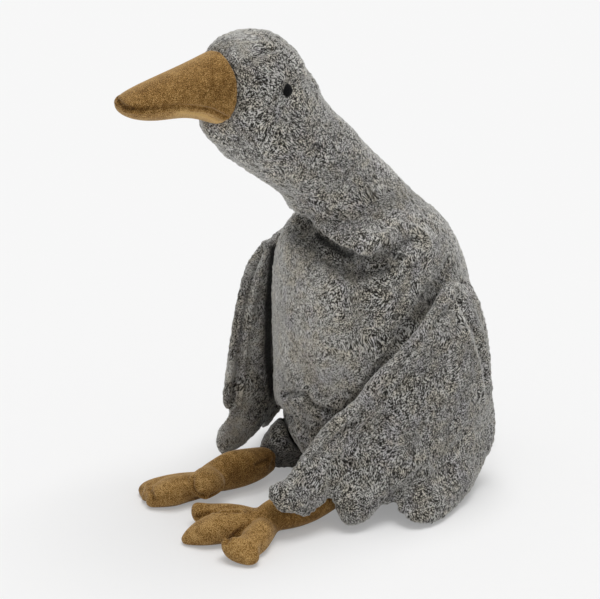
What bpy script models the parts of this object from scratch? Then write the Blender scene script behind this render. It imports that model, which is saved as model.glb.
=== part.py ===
# Plush goose, seated, with draped wings and padded webbed feet.
# Metres, +Z up. The goose faces -Y, its own left side is +X, and the origin is
# the middle of the flat seat that it rests on.

import math

import bmesh
import bpy
from mathutils import Matrix, Vector

MM = 0.001
SIDEWAYS = Vector((1, 0, 0))

# Seams: two sewn pieces meet with this gap between their solids.
SEAM_GAP = 0.3 * MM
# How deep a sewn piece is started inside the piece that carries it, before it is cut.
SEAM_ROOT = 22 * MM

# How far the underside of a soft piece is pressed flat by the floor.
FLOOR_SETTLE = 2 * MM
# Side of the block that stands for the floor.
FLOOR_SIZE = 1200 * MM

# Body: an upright stuffed bag on a flat seat.
BODY_HEIGHT = 286 * MM
BODY_WIDTH = 196 * MM
BODY_DEPTH = 214 * MM
BODY_TOP_FORWARD = 27 * MM
# From under the seat to the top: shares of the height, width, depth and forward shift.
BODY_OUTLINE = (
    (-0.05, 0.60, 0.62, 0.0),
    (0.03, 0.84, 0.80, 0.0),
    (0.13, 0.94, 0.90, 0.0),
    (0.25, 1.01, 0.99, 0.0),
    (0.46, 1.02, 1.00, 0.1),
    (0.68, 0.98, 0.97, 0.3),
    (0.86, 0.89, 0.86, 0.8),
    (0.96, 0.70, 0.70, 1.0),
    (1.02, 0.38, 0.40, 1.0),
)

# Neck and head: one stuffed piece that leans forward by an angle in degrees.
NECK_THICKNESS = 87 * MM
NECK_LENGTH = 140 * MM
NECK_LEAN = 50.5
NECK_BACK = 15 * MM
NECK_SUNK = 30 * MM
HEAD_WIDTH = 108 * MM
HEAD_HEIGHT = 112 * MM
HEAD_LENGTH = 112 * MM
# Up the neck, from inside the body: shares of its length and thickness.
NECK_OUTLINE = ((-0.30, 0.84), (0.0, 0.97), (0.50, 0.99), (1.0, 1.03))
# The middle of the head seen from the end of the neck, then the middle of its face seen
# from there: shares of the head's length forward and of its height up.
HEAD_TURN = (0.49, 0.565)
FACE_TURN = (0.30, 0.04)
# Through the head from the nape to the face: shares of its length forward and of its height
# up, shares of its width and height, and the lean of the ring.
HEAD_OUTLINE = (
    (-0.15, -0.25, 0.94, 0.94, 57),
    (-0.03, -0.06, 1.01, 1.13, 67),
    (0.14, -0.03, 0.94, 1.08, 80),
    (0.28, 0.00, 0.80, 0.90, 90),
    (0.37, 0.02, 0.50, 0.60, 90),
)

# Beak: a padded spoon shape, sewn round the face.
BEAK_LENGTH = 104 * MM
BEAK_WIDTH = 72 * MM
BEAK_HEIGHT = 77 * MM
# Along the beak from the face to its blunt tip: shares of its length, width and height, and
# how far its middle lies above the level of the face, as a share of its height.
BEAK_OUTLINE = (
    (0.00, 1.00, 0.95, 0.00),
    (0.24, 0.93, 0.68, 0.00),
    (0.46, 0.85, 0.53, -0.02),
    (0.67, 0.77, 0.46, -0.07),
    (0.83, 0.68, 0.37, -0.09),
    (0.94, 0.54, 0.25, -0.09),
    (1.00, 0.30, 0.12, -0.08),
)

# Eyes: small satin-stitched ovals.
EYE_WIDTH = 7.5 * MM
EYE_HEIGHT = 11.5 * MM
EYE_THICKNESS = 3.4 * MM
EYE_BACK = 35 * MM
# The head's half width is this much smaller where the eye is sewn.
EYE_SIDE_SHARE = 0.91

# Wings: flat padded fans, each sewn on at the shoulder and draped down to the floor.
WING_THICKNESS = 20 * MM
WING_RIM_SHARE = 0.7
WING_CLEARANCE = 3 * MM
WING_ROOT = 6 * MM
SHOULDER_SEAM = 42 * MM
WING_REACH = 282 * MM
WING_FLARE = 98 * MM
LEFT_SHOULDER_HEIGHT = 224 * MM
LEFT_SHOULDER_BACK = 34 * MM
LEFT_WING_BOW = -5 * MM
RIGHT_SHOULDER_HEIGHT = 254 * MM
RIGHT_SHOULDER_BACK = -42 * MM
RIGHT_WING_BOW = 22 * MM

# Legs and feet.
HIP_SPACING = 104 * MM
HIP_SHIFT = 8 * MM
LEG_SWING = 15 * MM
THIGH_THICKNESS = 66 * MM
THIGH_LENGTH = 52 * MM
LEG_THICKNESS = 36 * MM
LEG_LENGTH = 72 * MM
KNEE_HEIGHT = 21.6 * MM
ANKLE_DROP = 5.4 * MM
ANKLE_SWING = -6 * MM
TOE_LENGTH = 82 * MM
TOE_WIDTH = 33 * MM
TOE_THICKNESS = 26 * MM
# The hips are this share of the body's depth in front of its middle, and the thighs start
# this far inside it.
HIP_FORWARD_SHARE = 0.28
THIGH_ROOT = 35 * MM
# Down the thigh from the hip: shares of its length and of its way from thick to thin.
THIGH_OUTLINE = ((0.0, 0.0), (0.5, 0.28), (0.9, 0.84), (1.0, 1.12))
# Down the lower leg: shares of its length, width and height.
LEG_OUTLINE = (
    (-0.15, 0.62, 0.62),
    (0.00, 0.74, 0.74),
    (0.34, 1.10, 1.06),
    (0.68, 1.08, 1.00),
    (0.92, 0.92, 0.80),
    (1.12, 0.80, 0.62),
)
# Along a toe from inside the leg: shares of its length, width and thickness. A toe is either
# a spindle with a pointed tip or a strap that widens to a blunt end.
POINTED_TOE = (
    (-0.12, 0.50, 0.70),
    (0.14, 0.66, 0.98),
    (0.52, 1.18, 1.16),
    (0.80, 0.94, 0.86),
    (0.95, 0.44, 0.44),
    (1.00, 0.18, 0.24),
)
BLUNT_TOE = (
    (-0.12, 0.60, 0.80),
    (0.20, 0.74, 1.00),
    (0.55, 0.90, 0.92),
    (0.84, 1.20, 0.72),
    (0.97, 0.86, 0.52),
    (1.00, 0.60, 0.36),
)

# Tail: a short padded flap at the back.
TAIL_LENGTH = 38 * MM
TAIL_WIDTH = 84 * MM
TAIL_THICKNESS = 30 * MM
TAIL_HEIGHT = 42 * MM
TAIL_RISE = 8 * MM
# Along the tail from the body to its tip: shares of its length, width and thickness.
TAIL_OUTLINE = ((0.0, 1.0, 1.2), (0.5, 0.86, 1.0), (0.9, 0.52, 0.6), (1.0, 0.26, 0.3))

# Each wing's outline, rib by rib from the leading edge to the rear edge: the angle below
# level, the share of the wing's reach and the share of its flare away from the body.
LEFT_WING_OUTLINE = (
    (38, 0.97, 0.00),
    (42, 1.08, 0.00),
    (48, 1.04, 0.04),
    (51, 0.84, 0.08),
    (54, 1.03, 0.18),
    (60, 1.00, 0.24),
    (64, 0.80, 0.30),
    (67, 1.00, 0.46),
    (79, 0.92, 0.46),
    (95, 0.82, 0.18),
    (108, 0.67, 0.10),
)
RIGHT_WING_OUTLINE = (
    (57, 0.60, 0.00),
    (61, 0.72, 0.00),
    (65, 0.74, 0.00),
    (66, 0.97, 0.00),
    (71, 0.98, 0.04),
    (76, 0.92, 0.08),
    (80, 0.80, 0.14),
    (84, 0.90, 0.34),
    (94, 0.88, 0.40),
    (106, 0.82, 0.30),
    (118, 0.66, 0.12),
)
# Where along its ribs a wing's cage has points, and how late the flare sets in.
WING_STEPS = (0.0, 0.16, 0.34, 0.56, 0.79, 1.0)
FLARE_POWER = 1.5

# Toes: heading in degrees from straight ahead towards the goose's left, share of the toe
# length, how far its root lies to the goose's left of the ankle and above the floor, and
# its outline.
LEFT_TOES = (
    (-56, 0.84, -3 * MM, 0 * MM, BLUNT_TOE),
    (-19, 1.00, 0 * MM, 0 * MM, POINTED_TOE),
    (34, 0.80, 5 * MM, 0 * MM, BLUNT_TOE),
)
RIGHT_TOES = (
    (58, 0.44, -1 * MM, 9 * MM, POINTED_TOE),
    (-7, 0.82, 1 * MM, 0 * MM, POINTED_TOE),
    (-22, 0.82, -5 * MM, 0 * MM, BLUNT_TOE),
)


def clear_scene():
    """Remove the objects of the file that the script is run in."""
    for old in list(bpy.data.objects):
        bpy.data.objects.remove(old, do_unlink=True)


def new_collection(name):
    """Make a collection under the scene's own."""
    collection = bpy.data.collections.new(name)
    bpy.context.scene.collection.children.link(collection)
    return collection


def cloth(name, colour, roughness):
    """A plain cloth material for one kind of fabric."""
    material = bpy.data.materials.new(name)
    material.use_nodes = True
    shader = material.node_tree.nodes["Principled BSDF"]
    shader.inputs["Base Color"].default_value = (*colour, 1)
    shader.inputs["Roughness"].default_value = roughness
    shader.inputs["Metallic"].default_value = 0
    material.diffuse_color = (*colour, 1)
    return material


def cage_swell(ring_points):
    """How much wider a round cage is than the soft form that subdivision leaves in it."""
    return 6 / (4 + 2 * math.cos(math.tau / ring_points))


def leaning(degrees):
    """The direction that leans that far forward from upright."""
    return Vector((0, -math.sin(math.radians(degrees)), math.cos(math.radians(degrees))))


def soft_loft(name, stations, collection, grow=0.0, side=SIDEWAYS, ring_points=8, levels=2):
    """A closed soft form. Each station is a centre, a half width along side and a half
    rise, and may end with the lean of its ring in degrees, where 0 lies flat and 90 faces
    forward. Without it a ring stands square to the path. Grow makes the form fatter."""
    centres = [Vector(station[0]) for station in stations]
    swell = cage_swell(ring_points)
    cage = bmesh.new()
    rings = []
    for index, (_, half_width, half_rise, *lean) in enumerate(stations):
        before = centres[max(index - 1, 0)]
        after = centres[min(index + 1, len(centres) - 1)]
        along = leaning(lean[0]) if lean else (after - before).normalized()
        across = (side - along * side.dot(along)).normalized()
        rise = across.cross(along)
        centre = centres[index].copy()
        if index == 0:
            centre -= along * grow
        if index == len(centres) - 1:
            centre += along * grow
        ring = []
        for step in range(ring_points):
            angle = math.tau * (step + 0.5) / ring_points
            offset = across * (half_width + grow) * math.cos(angle)
            offset += rise * (half_rise + grow) * math.sin(angle)
            ring.append(cage.verts.new(centre + offset * swell))
        rings.append(ring)
    for ring, following in zip(rings, rings[1:]):
        for step in range(ring_points):
            beyond = (step + 1) % ring_points
            cage.faces.new((ring[step], ring[beyond], following[beyond], following[step]))
    cage.faces.new(rings[0])
    cage.faces.new(rings[-1])
    bmesh.ops.recalc_face_normals(cage, faces=cage.faces[:])
    return soft_object(name, cage, collection, levels)


def soft_object(name, cage, collection, levels):
    """Turn a cage into an object that Subdivision Surface rounds."""
    mesh = bpy.data.meshes.new(name)
    cage.to_mesh(mesh)
    cage.free()
    mesh.shade_smooth()
    piece = bpy.data.objects.new(name, mesh)
    collection.objects.link(piece)
    rounding = piece.modifiers.new("Rounding", "SUBSURF")
    rounding.levels = levels
    rounding.render_levels = levels
    return piece


def as_cutter(piece):
    """Show a cutter as wire only."""
    piece.display_type = "WIRE"
    piece.hide_render = True
    return piece


def boolean(piece, other, operation="DIFFERENCE"):
    """Cut a piece by another object, or join the two."""
    modifier = piece.modifiers.new(operation.title(), "BOOLEAN")
    modifier.operation = operation
    modifier.solver = "EXACT"
    modifier.object = other


def floor_block(collection):
    """The block under the floor plane that flattens whatever rests on it."""
    bpy.ops.mesh.primitive_cube_add(size=FLOOR_SIZE, location=(0, 0, -FLOOR_SIZE / 2))
    block = bpy.context.active_object
    block.name = "floor_block"
    for holder in block.users_collection:
        holder.objects.unlink(block)
    collection.objects.link(block)
    return as_cutter(block)


def body_stations():
    """Rings of the bag, from under the seat to its top."""
    stations = []
    for height, width, depth, shift in BODY_OUTLINE:
        centre = Vector((0, -shift * BODY_TOP_FORWARD, height * BODY_HEIGHT))
        stations.append((centre, width * BODY_WIDTH / 2, depth * BODY_DEPTH / 2))
    return stations


def body_side(y, z):
    """How far the body's side stands out from the middle at that depth and height."""
    stations = body_stations()
    for (low, low_width, low_depth), (high, high_width, high_depth) in zip(stations, stations[1:]):
        if low.z <= z <= high.z:
            share = (z - low.z) / (high.z - low.z)
            width = low_width + (high_width - low_width) * share
            depth = low_depth + (high_depth - low_depth) * share
            middle = low.y + (high.y - low.y) * share
            return width * math.sqrt(max(0, 1 - ((y - middle) / depth) ** 2))
    return 0.0


def neck_root():
    """Where the middle of the neck leaves the top of the body."""
    return Vector((0, NECK_BACK, BODY_HEIGHT - NECK_SUNK))


def head_offset(forward, up):
    """That share of the head's length forward and of its height up."""
    return Vector((0, -forward * HEAD_LENGTH, up * HEAD_HEIGHT))


def head_middle():
    """The middle of the head, above and in front of the neck's end."""
    return neck_root() + leaning(NECK_LEAN) * NECK_LENGTH + head_offset(*HEAD_TURN)


def face_middle():
    """The middle of the seam between the face and the beak."""
    return head_middle() + head_offset(*FACE_TURN)


def neck_and_head_stations():
    """The neck from inside the body, then the head that turns level."""
    stations = []
    for share, thickness in NECK_OUTLINE:
        centre = neck_root() + leaning(NECK_LEAN) * NECK_LENGTH * share
        radius = thickness * NECK_THICKNESS / 2
        stations.append((centre, radius, radius, NECK_LEAN))
    for forward, up, width, height, lean in HEAD_OUTLINE:
        centre = head_middle() + head_offset(forward, up)
        stations.append((centre, width * HEAD_WIDTH / 2, height * HEAD_HEIGHT / 2, lean))
    return stations


def beak_stations():
    """The beak, from inside the face to its blunt spoon tip."""
    start = face_middle()
    root = start + Vector((0, SEAM_ROOT, 0))
    stations = [(root, BEAK_WIDTH / 2, BEAK_HEIGHT / 2)]
    for share, width, height, lift in BEAK_OUTLINE:
        centre = start + Vector((0, -share * BEAK_LENGTH, lift * BEAK_HEIGHT))
        stations.append((centre, width * BEAK_WIDTH / 2, height * BEAK_HEIGHT / 2))
    return stations


def make_eye(name, hand, collection):
    """One embroidered oval, domed on the side of the head."""
    middle = face_middle() + Vector((0, EYE_BACK, 0))
    bpy.ops.mesh.primitive_uv_sphere_add(segments=16, ring_count=10, radius=0.5)
    eye = bpy.context.active_object
    eye.name = name
    eye.data.transform(Matrix.Diagonal((EYE_THICKNESS * 3, EYE_WIDTH, EYE_HEIGHT, 1)))
    eye.location = (hand * HEAD_WIDTH / 2 * EYE_SIDE_SHARE, middle.y, middle.z)
    eye.data.shade_smooth()
    for holder in eye.users_collection:
        holder.objects.unlink(eye)
    collection.objects.link(eye)
    return eye


def limb_side(hand, y, z):
    """How far a thigh or lower leg stands out from the middle at that depth and height."""
    for stations in (thigh_stations(hand), leg_stations(hand)):
        for (near, near_width, _), (far, far_width, _) in zip(stations, stations[1:]):
            if far.y <= y <= near.y:
                share = (near.y - y) / (near.y - far.y)
                centre = near.lerp(far, share)
                radius = near_width + (far_width - near_width) * share
                height = z - centre.z
                if abs(height) < radius:
                    return hand * centre.x + math.sqrt(radius ** 2 - height ** 2)
    return 0.0


def swelling(share):
    """A bow along a rib: nothing at both ends, and all of it a third of the way down."""
    return share * (1 - share) ** 2 * 27 / 4


def make_wing(name, hand, height, back, bow, outline, collection):
    """One padded fan that is sewn on at the shoulder and hangs over the body's side and
    the leg down to the floor."""
    shoulder = Vector((0, back, height))
    first_angle = outline[0][0]
    last_angle = outline[-1][0]
    middle_angle = math.radians((first_angle + last_angle) / 2)
    seam = Vector((0, math.sin(middle_angle), -math.cos(middle_angle))) * SHOULDER_SEAM
    cage = bmesh.new()
    rows = []
    for share in WING_STEPS:
        row = []
        for degrees, reach, flare in outline:
            angle = math.radians(degrees)
            trailing = (degrees - first_angle) / (last_angle - first_angle)
            root = shoulder + seam * (trailing - 0.5)
            tip = shoulder + Vector((0, -math.cos(angle), -math.sin(angle))) * reach * WING_REACH
            point = root.lerp(tip, share)
            point.y -= bow * (1 - trailing) * swelling(share)
            spill = max(0, FLOOR_SETTLE - point.z)
            point.z += spill
            hanging = body_side(back, height) + flare * WING_FLARE * share ** FLARE_POWER + spill
            resting = max(body_side(point.y, point.z), limb_side(hand, point.y, point.z))
            point.x = hand * max(hanging, resting + WING_THICKNESS / 2 + WING_CLEARANCE)
            if share == 0:
                point.x = hand * (body_side(point.y, point.z) - WING_ROOT)
            row.append(cage.verts.new(point))
        rows.append(row)
    for row, following in zip(rows, rows[1:]):
        for step in range(len(row) - 1):
            corners = (row[step], row[step + 1], following[step + 1], following[step])
            cage.faces.new(corners if hand > 0 else corners[::-1])
    cage.verts.index_update()
    rim = [vertex.index for vertex in cage.verts if vertex.is_boundary]
    wing = soft_object(name, cage, collection, levels=1)
    filling = wing.vertex_groups.new(name="filling")
    filling.add(range(len(wing.data.vertices)), 1.0, "REPLACE")
    filling.add(rim, WING_RIM_SHARE, "REPLACE")
    padding = wing.modifiers.new("Padding", "SOLIDIFY")
    padding.thickness = WING_THICKNESS
    padding.offset = 0
    padding.vertex_group = filling.name
    wing.modifiers.move(len(wing.modifiers) - 1, 0)
    return wing


def hip(hand):
    """The middle of one thigh where it leaves the body."""
    height = THIGH_THICKNESS / 2 - FLOOR_SETTLE
    return Vector((hand * HIP_SPACING / 2 + HIP_SHIFT, -BODY_DEPTH * HIP_FORWARD_SHARE, height))


def knee(hand):
    """The middle of the seam between a thigh and its foot."""
    start = hip(hand)
    return Vector((start.x + LEG_SWING, start.y - THIGH_LENGTH, KNEE_HEIGHT))


def ankle(hand):
    """Where the leg ends and the toes spread."""
    return knee(hand) + Vector((ANKLE_SWING, -LEG_LENGTH, -ANKLE_DROP))


def thigh_stations(hand):
    """One upper leg, from inside the body to the seam with the foot."""
    start = hip(hand)
    thick = THIGH_THICKNESS / 2
    thin = LEG_THICKNESS / 2
    stations = [(start + Vector((0, THIGH_ROOT, 0)), thick, thick)]
    for share, slimming in THIGH_OUTLINE:
        radius = thick + (thin - thick) * slimming
        stations.append((start.lerp(knee(hand), share), radius, radius))
    return stations


def leg_stations(hand):
    """One lower leg, from inside the thigh's end to the root of the toes."""
    start = knee(hand)
    along = ankle(hand) - start
    thick = LEG_THICKNESS / 2
    return [(start + along * share, thick * width, thick * height) for share, width, height in LEG_OUTLINE]


def toe_stations(start, heading, length, lift, outline):
    """One toe: a padded lobe that lies on the floor, or that far above it."""
    angle = math.radians(heading)
    ahead = Vector((math.sin(angle), -math.cos(angle), 0))
    wide = TOE_WIDTH / 2
    thick = TOE_THICKNESS / 2
    stations = []
    for share, width, rise in outline:
        centre = start + ahead * length * share
        centre.z = thick * rise - FLOOR_SETTLE + lift
        stations.append((centre, wide * width, thick * rise))
    return stations


def make_foot(name, hand, toes, collection, cutters, grow=0.0):
    """One lower leg with its three toes, all one padded piece."""
    foot = soft_loft(name, leg_stations(hand), collection, grow=grow, levels=1)
    for number, (heading, share, aside, lift, outline) in enumerate(toes, start=1):
        start = ankle(hand) + Vector((aside, 0, 0))
        stations = toe_stations(start, heading, share * TOE_LENGTH, lift, outline)
        angle = math.radians(heading)
        across = Vector((math.cos(angle), math.sin(angle), 0))
        toe = soft_loft(f"{name}_toe_{number}", stations, cutters, grow=grow, side=across, levels=1)
        boolean(foot, as_cutter(toe), "UNION")
    return foot


def tail_stations():
    """The tail, from inside the body's back to its rounded tip."""
    wide = TAIL_WIDTH / 2
    thick = TAIL_THICKNESS / 2
    root = Vector((0, BODY_DEPTH / 2, TAIL_HEIGHT))
    back = Vector((0, TAIL_LENGTH, TAIL_RISE))
    stations = [(root - back.normalized() * SEAM_ROOT, wide, thick * TAIL_OUTLINE[0][2])]
    for share, width, thickness in TAIL_OUTLINE:
        stations.append((root + back * share, wide * width, thick * thickness))
    return stations


def main():
    clear_scene()
    goose = new_collection("plush_goose")
    cutters = new_collection("cutters")
    grey_plush = cloth("grey_plush", (0.20, 0.19, 0.18), 0.95)
    ochre_velour = cloth("ochre_velour", (0.33, 0.19, 0.08), 0.9)
    black_thread = cloth("black_thread", (0.01, 0.01, 0.01), 0.5)

    floor = floor_block(cutters)

    body = soft_loft("body", body_stations(), goose)
    boolean(body, floor)
    body_room = as_cutter(soft_loft("body_room", body_stations(), cutters, grow=SEAM_GAP))

    neck = soft_loft("neck_and_head", neck_and_head_stations(), goose, ring_points=6)
    boolean(neck, body_room)
    head_room = soft_loft("head_room", neck_and_head_stations(), cutters, grow=SEAM_GAP, ring_points=6)
    as_cutter(head_room)

    beak = soft_loft("beak", beak_stations(), goose, ring_points=6)
    boolean(beak, head_room)

    tail = soft_loft("tail", tail_stations(), goose, levels=1)
    boolean(tail, body_room)

    pieces = {body: grey_plush, neck: grey_plush, beak: ochre_velour, tail: grey_plush}
    leg_rooms = []
    for side_name, hand, toes in (("left", 1, LEFT_TOES), ("right", -1, RIGHT_TOES)):
        eye = make_eye("eye_" + side_name, hand, goose)
        boolean(eye, head_room)
        pieces[eye] = black_thread

        thigh = soft_loft("thigh_" + side_name, thigh_stations(hand), goose, levels=1)
        boolean(thigh, floor)
        boolean(thigh, body_room)
        pieces[thigh] = grey_plush
        thigh_room_name = "thigh_room_" + side_name
        thigh_room = soft_loft(thigh_room_name, thigh_stations(hand), cutters, grow=SEAM_GAP, levels=1)
        leg_rooms.append(as_cutter(thigh_room))

        foot = make_foot("foot_" + side_name, hand, toes, goose, cutters)
        boolean(foot, floor)
        boolean(foot, thigh_room)
        pieces[foot] = ochre_velour
        foot_room = make_foot("foot_room_" + side_name, hand, toes, cutters, cutters, grow=SEAM_GAP)
        leg_rooms.append(as_cutter(foot_room))

    left_wing = make_wing("wing_left", 1, LEFT_SHOULDER_HEIGHT, LEFT_SHOULDER_BACK,
                          LEFT_WING_BOW, LEFT_WING_OUTLINE, goose)
    right_wing = make_wing("wing_right", -1, RIGHT_SHOULDER_HEIGHT, RIGHT_SHOULDER_BACK,
                           RIGHT_WING_BOW, RIGHT_WING_OUTLINE, goose)
    for wing in (left_wing, right_wing):
        boolean(wing, floor)
        boolean(wing, body_room)
        for leg_room in leg_rooms:
            boolean(wing, leg_room)
        pieces[wing] = grey_plush

    for piece, material in pieces.items():
        piece.data.materials.append(material)


main()
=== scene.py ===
# Looks for the seated plush goose: curly cotton plush covers, padded cotton velour beak and
# feet, and satin-stitched eyes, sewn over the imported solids.
# Metres, +Z up. The goose faces -Y and its own left side is +X.

import math

import bmesh
import bpy
import numpy as np
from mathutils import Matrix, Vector, noise
from mathutils.bvhtree import BVHTree


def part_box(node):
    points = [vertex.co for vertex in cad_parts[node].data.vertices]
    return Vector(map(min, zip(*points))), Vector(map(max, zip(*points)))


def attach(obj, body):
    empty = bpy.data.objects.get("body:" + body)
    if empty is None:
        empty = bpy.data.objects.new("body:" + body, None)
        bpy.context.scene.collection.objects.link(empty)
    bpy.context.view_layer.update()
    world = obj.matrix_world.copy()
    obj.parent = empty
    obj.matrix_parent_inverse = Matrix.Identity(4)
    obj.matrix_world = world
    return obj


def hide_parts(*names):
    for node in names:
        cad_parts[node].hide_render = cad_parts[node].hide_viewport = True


bl_info = {
    "name": "Plush goose looks",
    "version": (1, 0, 0),
    "blender": (4, 5, 0),
    "location": "3D View > Sidebar > Goose",
    "description": "Sews plush, velour and stitched looks over the seated goose's solids",
    "category": "Object",
}

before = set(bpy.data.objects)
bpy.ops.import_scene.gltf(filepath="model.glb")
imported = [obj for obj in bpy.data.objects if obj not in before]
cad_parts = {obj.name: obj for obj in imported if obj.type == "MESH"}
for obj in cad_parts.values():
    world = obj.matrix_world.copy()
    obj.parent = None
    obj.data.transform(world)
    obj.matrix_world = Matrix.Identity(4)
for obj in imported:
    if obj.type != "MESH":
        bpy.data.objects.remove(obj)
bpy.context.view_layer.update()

MM = 0.001
SIDES = (("left", 1), ("right", -1))

# The photograph's frame, and the camera that its perspective gives.
PHOTO_WIDTH = 600
PHOTO_HEIGHT = 599
CAMERA_AZIMUTH = math.radians(55)
CAMERA_ELEVATION = math.radians(18)
CAMERA_DISTANCE = 1.515
CAMERA_TARGET = Vector((-0.107, -0.021, 0.155))
LENS = 85.0
SENSOR = 36.0
# The focal length in pixels of the photograph.
FOCAL = LENS / SENSOR * PHOTO_WIDTH

# Covers are first meshed this coarsely for their filling, then this finely for their pile.
FILLING_MESH = 4.5 * MM
SMALL_FILLING_MESH = FILLING_MESH * 0.6
FOOT_FILLING_MESH = FILLING_MESH * 0.55
PLUSH_MESH = 1.65 * MM
VELOUR_MESH = 1.3 * MM
# The solids' vertices that are nearer than this are one, and no division is by less than TINY.
WELD = 0.01 * MM
TINY = 1e-12
# The pile's least height above the floor.
FLOOR_GAP = 0.2 * MM

# The filling: how finely the cloth is solved, how hard it is pushed, and in how many steps.
CLOTH_QUALITY = 4
FILLING_PRESSURE = 4.0
FILLING_STEPS = 20
# The most that the filling pushes a velour cover out.
VELOUR_FILLING = 2 * MM
# Covers are held where they are this near to what they are sewn to, and the seat by the floor.
HIDE_SEWN = 5 * MM
WING_SEWN = 2 * MM
THIGH_SEWN = 4 * MM
VELOUR_SEWN = 3 * MM
SEAT_SEWN = 3 * MM
# The seam between the body and the neck, below the top of the body's solid.
NECK_SEAM_DROP = 25 * MM

# How the angle behind the neck is filled: most at a height below the body's top, and less
# towards the front.
BLEND_DROP = 12 * MM
BLEND_HEIGHT = 26 * MM
BLEND_WEIGHT = 0.6
BLEND_FRONT = 75 * MM
BLEND_DEPTH = 60 * MM
BLEND_LEAST = 0.2
BLEND_ROUNDS = 45

# Where the shoulders of a crease rise, in widths, and where an overhang rises and sinks most,
# in shares of its reach.
SHOULDER_PLACE = 2.2
RISE_PLACE = 0.8
SINK_PLACE = 0.5

# The directions in which the pile of each cover is brushed, and where the neck's turns.
BODY_LAY = (0.15, -0.2, -1.0)
NECK_LAY = (0.1, -0.77, 0.64)
NECK_PIVOT = (0.0, -0.06, 0.28)
WING_LAYS = {"left": (0.0, -0.55, -1.0), "right": (0.0, -0.2, -1.0)}
THIGH_LAY = (0.1, -1.0, -0.1)
# The height at which the pile begins to turn to the neck's lay, and over how much.
LAY_TURN_START = 270 * MM
LAY_TURN_HEIGHT = 40 * MM
# The seed of the whorls and curls. Without one they fall differently on every run.
CURL_SEED = 7
# The pile's broad whorls and small curls: their sizes, how far they carry the strands, and
# what share of that carries the tufts.
WHORL_SIZE = 30 * MM
WHORL_SHIFT = 11 * MM
CURL_SIZE = 7 * MM
CURL_SHIFT = 1.5 * MM
TUFT_SHIFT = 0.3
# How much tufts and clumps count in the pile's height, which is 0.5 in the middle.
MIDDLE_HEIGHT = 0.5
TUFT_WEIGHT = 0.62
CLUMP_WEIGHT = 0.28
# How much strands stretch along the lay, how much brushing flattens them, and how far a stitch
# holds them down.
COMBING = 0.45
BRUSHING = 0.65
STITCH_DEPTH = 1.6 * MM
# How fast a brushed place and its painted light end where the cover turns away from the camera,
# and the reach of an eye's dimple.
TURN_AWAY = 3
EYE_DIMPLE = 8 * MM

# The plush's tone, painted darker as shade in its gaps and low places: the weight of gaps and tufts
# against strands, the levels of darkest gaps and palest tips, how far brushing and painted light
# lower the first, and a gap's width in strands.
GAP_WEIGHT = 0.26
PILE_WEIGHT = 0.10
GAP_LEVEL = 0.618
TIP_LEVEL = 0.775
SMOOTH_AND_LIT_DROP = 0.15
GAP_STRANDS = 2.6
# The velour's tone: the weight of its strokes, and the levels at which it is darkest and palest.
STROKE_WEIGHT = 0.22
SHADE_LEVEL = 0.492
NAP_LEVEL = 0.738

# How much darker the wings are painted all over, as shade, and the painted shade on their inner
# side, which faces the body.
WING_SHADE = 0.08
WING_INNER_SHADE = 0.1
WING_INNER_TURN = 2.0
# The painted shade on the thighs, which lie in shade between the body and the wings.
THIGH_SHADE = 0.5

# The eyes' stitches against their solids: how far they stand out, how much their tops are
# drawn up, and how much wider and taller they are.
EYE_STAND = 1.5 * MM
EYE_PEAK = 0.25
EYE_SPREAD = (1.45, 1.08)
# An eye's threads, their rings, a ring's corners, and a thread's thickness for its place.
THREADS = 15
THREAD_RINGS = 12
RING_CORNERS = 6
THREAD_THICKNESS = 1.35
# The stitches' dome across and along, and its level at the solid.
DOME_ACROSS = 0.9
DOME_ALONG = 0.95
DOME_LEVEL = 0.55

# Half the floor's width, and how much of the floor's brightness to the camera is its own.
FLOOR_HALF = 20.0
FLOOR_GLOW = 0.3
# How strongly the surroundings light the goose. The camera sees them at 1, as a backdrop.
WORLD_LIGHT = 0.44
# The lamp, and how far it leans from straight above.
LAMP_STRENGTH = 2.1
LAMP_BREADTH = math.radians(40)
LAMP_RIGHT = 0.08
LAMP_AWAY = 0.10

# Pixels between the points of a crease read off the photograph.
CREASE_STEP = 4

# Creases and seams that the photograph shows, as pixels from its left and top edges.
NECK_FOLD = ((304, 214), (314, 230), (326, 241), (338, 250), (355, 256), (371, 259), (383, 256))
NECK_FOLD_END = ((371, 260), (385, 255), (395, 250), (406, 242), (411, 237))
NECK_FOLD_PIT = ((318, 236), (330, 245), (342, 252), (355, 256))
CHEST_HOLLOW = ((303, 224), (312, 238), (325, 252), (342, 263), (362, 270), (382, 268))
SHOULDER_ROLL = ((385, 266), (398, 260), (410, 250), (424, 236))
SHOULDER_TUCK = ((450, 268), (438, 284), (424, 303), (410, 320), (396, 335))
SEAT_SEAM = ((285, 394), (295, 392), (305, 393), (313, 404), (328, 411), (344, 411))
SEAT_EDGE = ((278, 404), (288, 413), (300, 420), (313, 425), (326, 428))
SEAT_BAND = ((285, 403), (295, 403), (305, 408), (316, 414), (328, 420))
CROWN_DART = ((247, 63), (256, 57), (268, 52), (283, 47))
CROWN_SEAM = ((266, 36), (271, 40), (277, 46))
WING_SHADOW = ((440, 300), (420, 318), (402, 335), (389, 354), (375, 377), (360, 395),
               (345, 408), (328, 426), (315, 442))
LEFT_WING_STITCHING = ((452, 306), (438, 322), (423, 340), (406, 359), (391, 379), (376, 398),
                       (360, 415), (344, 430), (328, 445), (312, 461), (299, 474))
LEFT_WING_REAR_FOLD = ((458, 300), (468, 318), (477, 338), (485, 365), (488, 395))
LEFT_WING_FIRST_NOTCH = ((329, 499), (331, 486), (330, 470), (338, 459), (356, 466))
LEFT_WING_SECOND_NOTCH = ((394, 506), (400, 494), (411, 480), (424, 468))
RIGHT_WING_RIDGE = ((262, 246), (253, 272), (246, 300), (241, 335), (238, 371), (233, 405))
RIGHT_WING_STRIP = ((274, 250), (271, 275), (269, 300), (268, 330), (268, 360), (271, 385),
                    (273, 398))
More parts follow.
